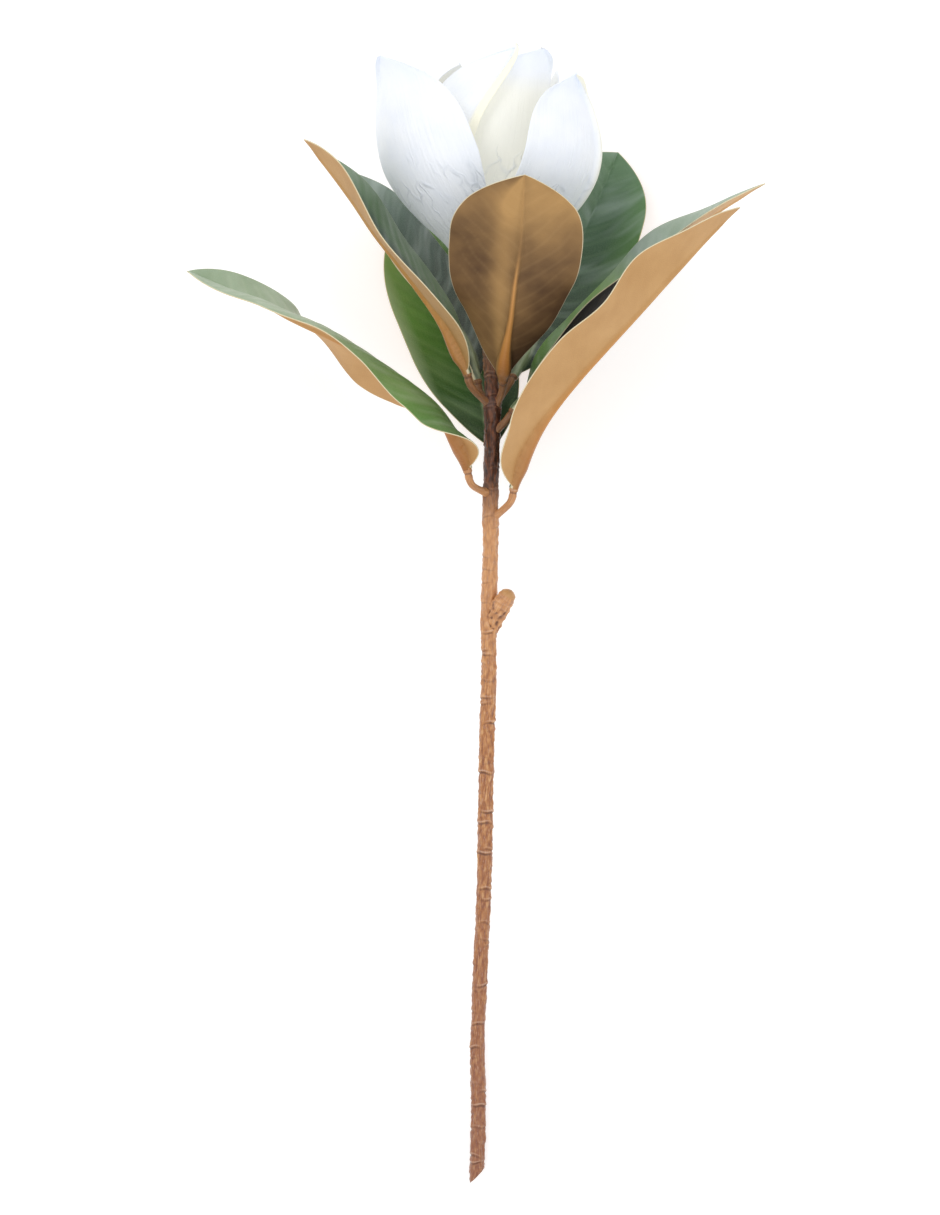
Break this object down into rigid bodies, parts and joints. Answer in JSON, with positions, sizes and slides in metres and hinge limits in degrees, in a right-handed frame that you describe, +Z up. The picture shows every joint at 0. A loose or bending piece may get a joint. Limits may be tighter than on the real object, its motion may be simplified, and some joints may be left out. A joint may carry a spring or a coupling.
{
  "type": "magnolia branch",
  "caption": "Cut magnolia branch lying flat: a woody stem with large two-toned leathery leaves and a half open white bloom.",
  "frame": {"origin": "middle of the footprint, on the surface that the branch lies on", "axes": "+Y along the branch from its cut end to its bloom, +Z up, towards the side that the picture shows"},
  "size_m": [0.3184, 0.616, 0.169],
  "materials": {
    "bark": "matte",
    "leaf": "satin",
    "bloom_base": "matte",
    "petal": "matte"
  },
  "bodies": {
    "root": {"stem": "bark", "leaf_1": "leaf", "leaf_2": "leaf", "leaf_3": "leaf", "leaf_4": "leaf", "leaf_5": "leaf", "leaf_6": "leaf", "leaf_7": "leaf", "leaf_8": "leaf", "bloom_base": "bloom_base", "petal_1": "petal", "petal_2": "petal", "petal_3": "petal", "petal_4": "petal", "petal_5": "petal", "petal_6": "petal", "petal_7": "petal", "petal_8": "petal", "petal_9": "petal"}
  },
  "joints": []
}
